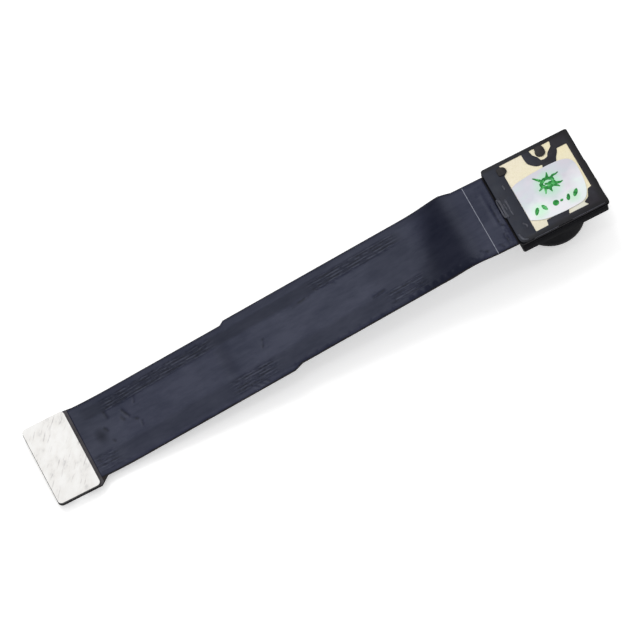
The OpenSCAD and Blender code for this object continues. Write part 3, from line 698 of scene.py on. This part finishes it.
# marks of the layers below: ridges and grooves as start, end, width and height, round bumps as
# place, radius and height, traces as stretches along and across
strokes = [
    ((-44.64, 2.2), (-44.6, 1.55), 0.12, -0.03), ((-45.25, 0.7), (-45.1, 0.4), 0.14, -0.03),
    ((-45.0, -0.7), (-44.9, -0.95), 0.1, -0.02), ((-43.4, 1.0), (-43.3, 0.6), 0.17, -0.012),
    ((-43.1, 1.5), (-42.75, 0.6), 0.12, -0.03), ((-42.6, 0.25), (-42.1, -0.05), 0.12, -0.015),
    ((-41.92, -0.4), (-42.0, -0.85), 0.07, -0.03), ((-41.6, 2.15), (-41.8, 1.6), 0.07, -0.025),
    ((-47.1, -1.7), (-46.85, -2.1), 0.08, -0.03), ((-46.7, -2.3), (-44.9, -3.3), 0.12, 0.02),
    ((-46.2, -2.2), (-44.2, -3.2), 0.12, 0.02), ((-31.7, -2.95), (-31.2, -3.4), 0.07, -0.03),
    ((-31.2, -2.9), (-30.6, -3.45), 0.07, -0.03), ((-30.7, -2.85), (-30.1, -3.4), 0.07, -0.025),
    ((-18.35, -1.38), (-17.15, -1.2), 0.09, -0.035), ((-18.3, -1.12), (-17.5, -0.95), 0.06, 0.02),
    ((-28.9, 0.6), (-29.2, -0.1), 0.09, -0.015), ((-25.1, 1.9), (-23.4, 2.1), 0.12, -0.012),
    ((-5.4, 2.1), (-5.4, -1.3), 0.18, 0.018), ((-5.12, 0.7), (-5.15, -1.1), 0.07, -0.02),
    ((-5.1, -1.45), (-4.9, -1.6), 0.07, -0.03), ((-5.0, -2.1), (-4.8, -2.3), 0.1, 0.05),
    ((-5.0, -2.8), (-4.8, -3.0), 0.1, 0.05), ((-5.35, -2.7), (-5.25, -3.0), 0.06, -0.03),
    ((-5.9, 2.9), (-5.3, 2.9), 0.06, 0.02), ((-6.0, 2.3), (-5.2, 2.3), 0.06, 0.02),
    ((-4.95, -1.7), (-4.95, -3.3), 0.12, 0.045), ((-5.3, -2.4), (-5.2, -3.4), 0.07, -0.03),
    ((-6.1, -3.2), (-5.7, -3.6), 0.09, -0.03), ((-8.9, -3.0), (-8.5, -3.4), 0.1, 0.02),
    ((-7.9, -2.9), (-7.3, -3.3), 0.08, -0.02), ((-22.7, 2.45), (-22.4, 2.2), 0.08, -0.03),
    ((-21.0, 2.0), (-20.7, 1.8), 0.08, -0.025), ((-34.4, 3.1), (-34.1, 2.8), 0.08, -0.03),
    ((-40.2, 3.2), (-39.9, 3.0), 0.08, -0.025),
]
domes = [(-15.3 + 0.83 * i, -3.22 + 0.02 * i, 0.15, 0.1) for i in range(7)]
domes += [(-27.2 + 1.12 * i, -3.22, 0.15, 0.05) for i in range(10)]
domes += [(-9.3, -3.35, 0.16, 0.02), (-8.5, -3.4, 0.16, 0.02), (-7.8, -3.35, 0.2, 0.02)]
traceFields = [
    (-47.2, -45.3, -3.1, -1.45), (-44.4, -33.2, 2.25, 3.45), (-22.8, -14.2, 2.15, 3.3),
    (-33.2, -28.9, -3.05, -1.55), (-17.1, -13.4, -2.9, -1.6),
]
# duller areas of the film, also darker in colour, partly its own tone and partly painted shade of its
# weaker sheen and over the dip near x -32.6: a stretch along it with its softness, one across it, and the
# strength
dullAndShadedFields = [
    (-46.8, -13.5, 0.8, 2.25, 3.4, 0.15, 0.85), (-46.5, -14.5, 0.8, -3.2, -1.5, 0.25, 0.5),
    (-48.0, -45.0, 1.4, -5.0, 5.0, 0.5, 0.4), (-17.5, -13.0, 1.2, -5.0, 5.0, 0.5, 0.35),
    (-46.3, -45.3, 0.6, -0.5, 0.9, 0.8, 1.6), (-33.1, -32.1, 0.7, -1.0, 2.6, 1.0, 0.5),
    (-33.2, -32.2, 0.4, 2.3, 3.4, 0.3, 0.9), (-47.5, -9.5, 0.8, 3.45, 5.0, 0.2, 0.4),
]
# where the traces run across the ribbon, and the heights of the relief
bundles = ((2.15, 3.45), (-3.2, -1.4))
relief = dict(swell=0.010, ripple=0.005, plateau=0.012, dip=0.012, grit=0.02)


def strokesNear(x):
    return [stroke for stroke in strokes if abs(x - stroke[0][0]) < 3]


def inTraces(x, y, softX, softY):
    return max(span(x, a, b, softX) * span(y, c, d, softY) for a, b, c, d in traceFields)


def topRelief(x, y):
    height = relief["swell"] * noise.noise(Vector((x * 0.22, y * 0.35, 0.5)))
    height += relief["ripple"] * noise.noise(Vector((x * 0.9, y * 0.9, 2.5)))
    # both bundles of traces stand a little proud of the plain middle
    height += sum(relief["plateau"] * span(y, start, end, 0.1) for start, end in bundles)
    height -= relief["dip"] * span(x, -33.1, -32.2, 0.35)
    for stroke in strokesNear(x):
        height += ridge(x, y, *stroke)
    # fine wrinkles over the traces
    grit = noise.noise(Vector((x * 2.6, y * 5.5, 21)))
    height += relief["grit"] * grit * inTraces(x, y, 0.6, 0.1)
    for cx, cy, radius, rise in domes:
        away = ((x - cx) ** 2 + (y - cy) ** 2) / radius ** 2
        height += rise * math.exp(-away) if away < 6 else 0
    return height


def bottomRelief(x, y):
    return 0.006 * noise.noise(Vector((x * 0.3, y * 0.4, 7))) + 0.008 * span(y, -3.3, 3.3, 0.15)


film = dict(thinnest=0.012, gap=0.0005, rimWidth=0.22, rimDrop=0.03, drift=0.12, faintest=0.25)
# painted shade: the film's colour and its reflection are darkened where it bends up to the head, along a
# slanted border
bendShade = dict(start=-12.5, slant=0.42, end=-8.3, soft=1.3)


def makeFilm(nodeName, pieceName, above, reliefOf, cellsAlong, cellsAcross):
    # a grid whose outer face carries the relief, and values that tell the finish where the traces and
    # dull areas are, and where painted shade goes in the grooves and over the bend
    low, high = boxOf(nodeName)
    clearSelection()
    bpy.ops.mesh.primitive_grid_add(
        x_subdivisions=cellsAlong, y_subdivisions=cellsAcross, size=1,
        location=((low.x + high.x) / 2 * mm, 0, 0))
    piece = bpy.context.object
    piece.scale = ((high.x - low.x) * mm, 2 * mm, 1)
    bpy.ops.object.transform_apply()
    surface = ribbon["coreThickness"] if above else 0.0
    side = 1 if above else -1
    traces, fields, grooveShade, bendShadings = [], [], [], []
    for vertex in piece.data.vertices:
        x = vertex.co.x / mm
        share = (vertex.co.y / mm + 1) / 2
        y = lowerEdge(x) * (1 - share) + upperEdge(x) * share
        edge = min(y - lowerEdge(x), upperEdge(x) - y)
        height = reliefOf(x, y) - film["rimDrop"] * (1 - step(edge, 0, film["rimWidth"]))
        thickness = max(ribbon["filmThickness"] + height, film["thinnest"])
        z = coreHeight(x) + surface + side * thickness
        vertex.co = (x * mm, y * mm, z * mm)
        traces.append(inTraces(x, y, 0.7, 0.08))
        drifted = y + film["drift"] * noise.noise(Vector((x * 0.8, y * 0.8, 11)))
        fields.append(max(
            g * span(x, a, b, c) * span(drifted, d, e, f) for a, b, c, d, e, f, g in dullAndShadedFields))
        # painted shade in the grooves, patchy along them
        grooveShadeStrength = step(noise.noise(Vector((x * 2.4, y * 2.4, 17))), -0.3, 0.25)
        grooveShadeStrength = film["faintest"] + (1 - film["faintest"]) * grooveShadeStrength
        grooves = [stroke[:3] for stroke in strokesNear(x) if stroke[3] < 0]
        grooveShade.append(grooveShadeStrength * min(1, sum(ridge(x, y, *groove, 1) for groove in grooves)))
        # painted shade over the bend, on the upper film only
        start = bendShade["start"] + bendShade["slant"] * y
        bendShadings.append(span(x, start, bendShade["end"], bendShade["soft"]) if above else 0)
    for name, values in (("traces", traces), ("fields", fields), ("grooveShade", grooveShade), ("bendShading", bendShadings)):
        layer = piece.data.attributes.new(name, "FLOAT", "POINT")
        layer.data.foreach_set("value", values)
    # walls and the face against the core
    makeActive(piece)
    bpy.ops.object.mode_set(mode="EDIT")
    bpy.ops.mesh.select_all(action="SELECT")
    if not above:
        bpy.ops.mesh.flip_normals()
    bpy.ops.object.mode_set(mode="OBJECT")
    wall = piece.modifiers.new("wall", "SOLIDIFY")
    wall.thickness = film["thinnest"] * mm
    wall.offset = -1
    applyModifiers(piece)
    for vertex in piece.data.vertices:
        face = coreHeight(vertex.co.x / mm) + surface
        if (vertex.co.z / mm - face) * side < film["gap"]:
            vertex.co.z = (face + side * film["gap"]) * mm
    piece.data.shade_smooth()
    finishPiece(piece, pieceName, finishes["film"], "film", nodeName)


makeFilm("top_shield_film", "shieldFilmTop", True, topRelief, cellsAlong=380, cellsAcross=84)
makeFilm("bottom_shield_film", "shieldFilmBottom", False, bottomRelief, cellsAlong=220, cellsAcross=44)
print("shield films laid")

# the pale crease across the ribbon, where the coat has cracked along a fold
crease = dict(
    x=-6.62, width=0.065, top=3.6, bottom=-3.92, height=0.022, sink=0.02, rim=0.008, wobble=0.02,
    steps=40)
outline = []
for side, first, last, row in ((1, "top", "bottom", 0), (-1, "bottom", "top", 5)):
    for i in range(crease["steps"] + 1):
        y = crease[first] + (crease[last] - crease[first]) * i / crease["steps"]
        wobble = crease["wobble"] * noise.noise(Vector((y * 3, row, 0)))
        outline.append((crease["x"] + side * crease["width"] / 2 + wobble, y))
filmTop = coreHeight(crease["x"]) + ribbon["coreThickness"] + ribbon["filmThickness"]
creaseFinish = plainFinish("crackedCoat", (150, 153, 166), (98, 101, 114), 0.35, 0.05, 0.004, (0.5, 0.7))
piece = flatShape([outline], filmTop - crease["sink"], filmTop + crease["height"], crease["rim"])
finishPiece(piece, "creaseLine", creaseFinish, "film")
print("crease drawn")


# connector end

# the plate's free end stands a little farther out than its solid's
stiffener = dict(cornerR=0.39, edgeR=0.03, extra=Vector((0.04, 0, 0)))
piece = roundedBlock(
    plateLow - stiffener["extra"], plateHigh, stiffener["cornerR"], stiffener["edgeR"], 8)
smoothByAngle(piece, 30)
finishPiece(piece, "steelStiffener", finishes["steel"], "steel", "connector_stiffener")
# the plate's sheared walls get a darker grey than its face: painted shade; only its face keeps the bright
# steel
piece.data.materials.append(plainFinish(
    "shadedPlateWall", (70, 70, 72), (44, 44, 46), 0.3, 0.05, 0.006, (0.5, 0.7), 0.3, 0.3))
facesUp = 0.35                     # the least rise of a bright face's normal
for face in piece.data.polygons:
    face.material_index = 1 if face.normal.z < facesUp else 0
softenedCopy("plug_housing", "plugHousing", "plug_plastic", edgeR=0.025)
softenedCopy("plug_contacts", "plugContacts", "gold", edgeR=0.012)
softenedCopy("plug_hold_downs", "plugHoldDowns", "tin", edgeR=0.015)
print("connector dressed")


# head: mask with its windows, plating under it, sticker, pen marks, glue

coat = dict(rim=0.013, inset=0.01, cornerR=0.26, firstCornerR=0.6, windowR=0.05)
outerCorners = planCorners(boardLow, boardHigh, coat["inset"])
outerCorners[0] += (coat["firstCornerR"],)
outer = roundCorners(outerCorners, coat["cornerR"], 6)
# most points of a window carry the radius of their own corner
mainWindow = [
    (-2.7, 3.84, 0.04), (-2.6, 3.68, 0.06), (-2.38, 3.44, 0.1), (-2.36, 3.0, 0.25), (-2.68, 2.66, 0.06),
    (-2.68, -2.0), (-2.68, -3.74, 0.06), (-1.42, -3.72, 0.06), (-1.34, -3.18, 0.1), (0.96, -3.16, 0.1),
    (0.74, -3.64, 0.06), (2.74, -3.66, 0.06), (2.46, -3.26, 0.12), (2.98, -2.98, 0.15), (3.34, -2.2, 0.12),
    (3.74, -2.12, 0.05), (3.74, 0.0), (3.72, 2.86, 0.06), (2.74, 2.86, 0.08), (2.62, 2.5, 0.2),
    (2.3, 2.08, 0.12), (2.14, 1.7, 0.12), (0.74, 1.72, 0.1), (0.86, 2.02, 0.12), (0.34, 2.06, 0.3),
    (-0.32, 2.68, 0.3), (-0.4, 3.3, 0.2), (-0.4, 3.85, 0.04),
]
islandWindow = [
    (0.36, 3.84, 0.04), (0.48, 3.3, 0.1), (0.84, 2.86, 0.12), (0.92, 2.5, 0.12), (1.26, 2.42, 0.12),
    (1.62, 2.52, 0.12), (1.8, 2.86, 0.15), (2.1, 3.12, 0.15), (2.34, 3.3, 0.1), (2.46, 3.84, 0.04),
]
windows = [roundCorners(window, coat["windowR"]) for window in (mainWindow, islandWindow)]
piece = flatShape([outer] + windows, maskLow.z, maskHigh.z, coat["rim"])
finishPiece(piece, "maskCoat", finishes["mask"], "mask", "solder_mask")

plating = dict(inset=0.3, cornerR=0.15, edgeR=0.004, sink=0.002, top=0.012)
plan = planCorners(boardLow, boardHigh, plating["inset"])
low = Vector(plan[0] + (maskLow.z - plating["sink"],))
high = Vector(plan[2] + (maskLow.z + plating["top"],))
piece = roundedBlock(low, high, plating["cornerR"], plating["edgeR"])
smoothByAngle(piece, 30)
finishPiece(piece, "groundPlating", finishes["ground_gold"], "ground_gold", "ground_plate")

label = dict(thickness=0.05, rim=0.012, cornerR=0.3)
labelLow = boxOf("back_label")[0]
labelOutline = [
    (-2.66, 1.22, 0.05), (-2.3, 1.42, 0.3), (-1.2, 1.6, 0.6), (0.6, 1.72, 0.8), (2.2, 1.68, 0.8),
    (3.1, 1.45, 0.5), (3.52, 0.9, 0.4), (3.56, 0.0, 0.5), (3.5, -1.1, 0.5), (3.28, -2.2, 0.5),
    (2.86, -2.92, 0.4), (2.3, -3.2, 0.5), (0.8, -3.24, 0.5), (-0.9, -3.16, 0.6), (-1.7, -2.98, 0.4),
    (-2.3, -2.7, 0.3), (-2.66, -2.5, 0.05),
]
labelTop = labelLow.z + label["thickness"]
piece = flatShape([roundCorners(labelOutline, label["cornerR"], 6)], labelLow.z, labelTop, label["rim"])
finishPiece(piece, "pearlLabel", finishes["sticker"], "sticker", "back_label")
print("back of the head dressed")

# the two locating pegs, their heads melted flat over the board
pegFinish = plainFinish("stakedPegs", (50, 46, 46), (30, 28, 30), 0.5, 0.1, 0.006, (0.4, 0.6), 0, 0.2)
peg = dict(cornerR=0.22, sink=0.02, proud=0.012, rim=0.035)
pegLow = maskHigh.z - peg["sink"]
pegHigh = boxOf("lens_holder")[1].z + peg["proud"]
pegHeads = {
    "pegHeadLarge": [
        (0.86, 3.86), (0.84, 3.5), (0.76, 3.2), (0.94, 2.86), (1.28, 2.76), (1.62, 2.88), (1.74, 3.22),
        (1.7, 3.55), (1.6, 3.86)],
    "pegHeadSmall": [
        (-3.14, 3.66), (-2.74, 3.7), (-2.38, 3.56), (-2.22, 3.26), (-2.28, 2.94), (-2.56, 2.8),
        (-3.14, 2.82)],
}
for name, outline in pegHeads.items():
    piece = flatShape([roundCorners(outline, peg["cornerR"], 5)], pegLow, pegHigh, peg["rim"])
    finishPiece(piece, name, pegFinish, "holder_plastic")

# an inspector's marks, a splash and a row of dabs: a stroke is even, or thins where the pen lifts,
# or is a dab, full in its middle
pen = dict(halfWidth=0.12, height=0.006, pressure=(0.88, 1.12), chords=4)
splash = dict(x=0.42, y=0.1, reachX=0.56, reachY=0.47, wobble=0.07, turn=0.449, points=15)
loop = []
for i in range(splash["points"]):
    reachX = splash["reachX"] + splash["wobble"] * math.sin(i * 2.1)
    angle = i * splash["turn"]
    loop.append((splash["x"] + reachX * math.cos(angle), splash["y"] + splash["reachY"] * math.sin(angle)))
penMarks = [
    ("even", 1.25, loop),
    ("lifted", 1.0, [(0.02, 0.5), (-0.2, 0.72), (-0.44, 0.98), (-0.62, 1.16)]),
    ("lifted", 1.0, [(0.56, 0.54), (0.7, 0.8), (0.8, 1.12)]),
    ("lifted", 1.0, [(0.96, 0.46), (1.2, 0.58), (1.48, 0.56), (1.74, 0.64)]),
    ("lifted", 1.1, [(0.98, -0.2), (1.3, -0.34), (1.5, -0.4), (1.74, -0.36)]),
    ("lifted", 1.1, [(0.8, -0.32), (1.04, -0.5), (1.28, -0.76)]),
    ("lifted", 1.1, [(0.44, -0.36), (0.4, -0.6), (0.44, -0.9)]),
    ("lifted", 1.1, [(0.06, -0.26), (-0.06, -0.5), (-0.2, -0.86)]),
    ("lifted", 1.1, [(-0.06, 0.0), (-0.3, -0.16), (-0.62, -0.3)]),
    ("lifted", 1.0, [(-0.02, 0.2), (-0.2, 0.22), (-0.34, 0.3)]),
    ("even", 1.5, [(0.3, -0.1), (0.55, -0.2), (0.8, -0.16), (0.9, -0.08)]),
    ("lifted", 0.8, [(0.14, 0.12), (0.4, 0.02), (0.66, 0.1), (0.9, 0.04)]),
]
# the middle of each dab, its slant in degrees, half its length and its weight
dabs = [
    (-1.72, -2.02, 58, 0.4, 1.5), (-0.93, -2.0, 112, 0.38, 1.4), (0.18, -2.08, 40, 0.3, 2.4),
    (0.76, -2.1, 14, 0.17, 1.0), (1.42, -2.12, 66, 0.34, 1.4), (2.2, -2.02, 50, 0.42, 1.6),
]
for x, y, slant, reach, weight in dabs:
    lean = Vector((math.cos(math.radians(slant)), math.sin(math.radians(slant)))) * reach
    penMarks.append(("dab", weight, [(x + lean.x * k, y + lean.y * k) for k in (-1, -0.4, 0.3, 1)]))


def fullness(manner, t):
    # how wide a stroke is at the share t of its length
    if manner == "dab":
        return math.sqrt(max(0.02, 1 - (2 * t - 1) ** 2))
    lift = 0.75 if manner == "lifted" else 0.0
    return 1.15 - lift * t ** 1.5


parts = []
for manner, weight, points in penMarks:
    fine = []
    for start, end in zip(points, points[1:]):
        for k in range(pen["chords"]):
            t = k / pen["chords"]
            fine.append((start[0] * (1 - t) + end[0] * t, start[1] * (1 - t) + end[1] * t, labelTop))
    fine.append((*points[-1], labelTop))
    last = len(fine) - 1
    widths = [weight * fullness(manner, i / last) for i in range(last + 1)]
    radii = [pen["halfWidth"] * width * random.uniform(*pen["pressure"]) for width in widths]
    parts.append(beadAlong(fine, radii, flatten=pen["height"] / pen["halfWidth"], resolution=2))
finishJoined(parts, "penStrokes", inkFinish("greenInk"), "sticker")
print("pen strokes drawn")

softenedCopy("upper_rigid_layer", "boardUpper", "board", edgeR=0.02)
softenedCopy("lower_rigid_layer", "boardLower", "board", edgeR=0.02)

# glue squeezed out round the board: thin nearly everywhere, thicker in a few places
squeeze = dict(
    z=carrierLow.z - 0.03, wander=0.03, pitch=0.3, cornerR=0.3, margin=0.1, thin=0.055, swell=0.06,
    farEnd=0.06, farEndUpTo=0.9, ripple=0.03, farSide=0.07, farSideFrom=-1.0)
path, radii = [], []
rim = roundCorners(planCorners(boardLow, boardHigh), squeeze["cornerR"], 4)
for a, b in zip(rim, rim[1:] + rim[:1]):
    pieces = max(1, int((b - a).length / squeeze["pitch"]))
    for k in range(pieces):
        point = a + (b - a) * k / pieces
        swell = max(0, noise.noise(Vector((point.x * 0.9, point.y * 0.9, 4))))
        thick = squeeze["thin"] + squeeze["swell"] * swell
        if point.x > boardHigh.x - squeeze["margin"] and point.y < squeeze["farEndUpTo"]:
            thick += squeeze["farEnd"] + squeeze["ripple"] * noise.noise(Vector((point.y * 1.6, 2, 1)))
        if point.y > boardHigh.y - squeeze["margin"] and point.x > squeeze["farSideFrom"]:
            thick += squeeze["farSide"]
        drift = squeeze["wander"] * noise.noise(Vector((point.x, point.y, 8)))
        path.append((point.x, point.y, squeeze["z"] + drift))
        radii.append(thick)
piece = beadAlong(path, radii, closed=True)
finishPiece(piece, "squeezedGlue", finishes["glue"], "glue", "holder_glue")

# bead in the corner between ribbon and head, with the lump left of its middle
bead = dict(
    x=boardLow.x - 0.04, z=coreHeight(boardLow.x) + 0.17, reach=3.78, radius=0.075, wander=0.03,
    lump=0.055, steps=60)
path, radii = [], []
for i in range(bead["steps"] + 1):
    y = ribbon["headOffset"] - bead["reach"] + 2 * bead["reach"] * i / bead["steps"]
    lump = bead["lump"] * span(y, -1.05, 1.1, 0.15)
    drift = bead["wander"] * noise.noise(Vector((0, y * 1.4, 2)))
    path.append((bead["x"] + drift, y, bead["z"] + lump * 0.6))
    radii.append(bead["radius"] + bead["wander"] * noise.noise(Vector((0, y * 2.1, 6))) + lump)
piece = beadAlong(path, radii)
finishPiece(piece, "junctionGlue", finishes["glue"], "glue", "junction_bead")

# thin runs of glue on the lower rim of the board, in a paler grey than the black glue: painted highlight
# where they catch the light
glueHighlightFinish = plainFinish("glueSeam", (74, 76, 88), (46, 47, 56), 0.4, 0.06, 0.004, (0.35, 0.55), 0, 0.4)
seam = dict(
    y=boardLow.y + 0.03, z=boardHigh.z - 0.02, radius=0.06, uneven=(0.6, 1.2), wobble=0.02, steps=12)
parts = []
for start, end in ((-3.1, -0.65), (0.75, 4.05)):
    path = []
    for k in range(seam["steps"] + 1):
        wobble = seam["wobble"] * noise.noise(Vector((start + k, 0, 3)))
        path.append((start + (end - start) * k / seam["steps"], seam["y"] + wobble, seam["z"]))
    radii = [seam["radius"] * random.uniform(*seam["uneven"]) for place in path]
    parts.append(beadAlong(path, radii, resolution=2))
finishJoined(parts, "glueSeams", glueHighlightFinish, "glue")

# smears of the same glue on the mask beside the ribbon, with the same painted highlight
smear = dict(radius=0.085, uneven=(0.6, 1.3), flatten=0.4, z=maskHigh.z + 0.004)
smears = [
    [(-4.5, 0.75), (-4.38, 0.92), (-4.28, 0.6), (-4.27, -0.2), (-4.3, -0.95), (-4.4, -1.18),
     (-4.52, -0.9), (-4.5, -0.2), (-4.5, 0.7)],
    [(-3.74, 0.55), (-3.7, -0.2), (-3.78, -0.75), (-3.72, -1.3)],
    [(-4.02, 0.2), (-4.04, 0.0), (-3.98, -0.3), (-4.0, -0.5)],
    [(-3.32, 1.95), (-3.26, 1.75), (-3.24, 1.55), (-3.3, 1.4)],
    [(-4.24, 0.95), (-4.18, 0.1), (-4.26, -0.6), (-4.2, -1.25)],
    [(-3.4, -2.4), (-3.2, -2.6), (-3.1, -2.75), (-3.2, -3.0)],
    [(-4.2, -3.2), (-4.16, -3.6), (-4.0, -3.95), (-3.6, -4.08)],
]
parts = []
for points in smears:
    path = [(*point, smear["z"]) for point in points]
    radii = [smear["radius"] * random.uniform(*smear["uneven"]) for point in points]
    parts.append(beadAlong(path, radii, flatten=smear["flatten"], resolution=2))
finishJoined(parts, "glueSmears", glueHighlightFinish, "glue")

softenedCopy("lens_holder", "lensHolder", "holder_plastic", edgeR=0.04)
softenedCopy("lens_barrel", "lensBarrel", "barrel_plastic", edgeR=0.03)
print("head dressed")


# floor, light and camera

# in metres, a hair below the part
floorPlan = dict(size=3.0, centre=(-0.024, 0, -0.00002))
clearSelection()
bpy.ops.mesh.primitive_plane_add(size=floorPlan["size"], location=floorPlan["centre"])
floor = bpy.context.object
floor.name = "floor"
ground = Finish("paleFloor", 0.9, 0.0, 0.0)
ground.colour(ground.ramp(ground.noise(60, 2), (0.3, 0.90), (0.7, 0.92)))
# the floor shines a little, but only towards the camera and in mirrors and glass
seen = ground.add("ShaderNodeLightPath")
shown = ground.math("MAXIMUM", seen.outputs["Is Camera Ray"], ground.math(
    "MAXIMUM", seen.outputs["Is Glossy Ray"], seen.outputs["Is Transmission Ray"]))
ground.shade({"Emission Color": (1, 1, 1, 1), "Emission Strength": ground.times(shown, 0.4)})
floor.data.materials.append(ground.material)

world = bpy.data.worlds.new("studio")
bpy.context.scene.world = world
world.use_nodes = True
tree = world.node_tree
background = tree.nodes["Background"]
rays = tree.nodes.new("ShaderNodeLightPath")
strength = tree.nodes.new("ShaderNodeMapRange")
strength.inputs["To Min"].default_value = 0.72
strength.inputs["To Max"].default_value = 1.0
tree.links.new(rays.outputs["Is Camera Ray"], strength.inputs["Value"])
tree.links.new(strength.outputs["Result"], background.inputs["Strength"])
background.inputs["Color"].default_value = (1, 1, 1, 1)


def directionTo(azimuth, elevation):
    # from the part towards a lamp or the camera
    a, e = math.radians(azimuth), math.radians(elevation)
    return Vector((math.sin(a) * math.cos(e), -math.cos(a) * math.cos(e), math.sin(e)))


def softBox(name, aim, azimuth, elevation, size, power, distance=420):
    # a square lamp aimed at a point, all in millimetres
    back = directionTo(azimuth, elevation)
    clearSelection()
    bpy.ops.object.light_add(type="AREA", location=(aim + back * distance) * mm)
    lamp = bpy.context.object
    lamp.name = name
    lamp.data.shape = "SQUARE"
    lamp.data.size = size * mm
    lamp.data.energy = power
    lamp.rotation_euler = (-back).to_track_quat("-Z", "Y").to_euler()


middle = Vector(((cadBox[0].x + cadBox[1].x) / 2, 0, 0)) / mm
softBox("overhead", middle, azimuth=184, elevation=63.5, size=150, power=0.38)
softBox("nearSide", middle, azimuth=-20, elevation=83, size=60, power=0.08)
softBox("windowSide", middle, azimuth=250, elevation=40, size=260, power=0.05)

shot = dict(
    azimuth=-10.42, elevation=63.47, roll=-17.50, distance=639.4, aim=(-23.44, -0.30, 3.0), lens=396.5)
back = directionTo(shot["azimuth"], shot["elevation"])
a, r = math.radians(shot["azimuth"]), math.radians(shot["roll"])
right = Vector((math.cos(a), math.sin(a), 0))
up = back.cross(right)
right, up = right * math.cos(r) + up * math.sin(r), up * math.cos(r) - right * math.sin(r)
turn = Matrix((right, up, back)).transposed().to_4x4()
clearSelection()
bpy.ops.object.camera_add()
camera = bpy.context.object
camera.matrix_world = Matrix.Translation((Vector(shot["aim"]) + back * shot["distance"]) * mm) @ turn
camera.data.lens = shot["lens"]
camera.data.sensor_width = 36
camera.data.clip_start = 0.01
camera.data.clip_end = 10
bpy.context.scene.camera = camera
bpy.context.scene.view_settings.view_transform = "Standard"
print("floor, light and camera set")
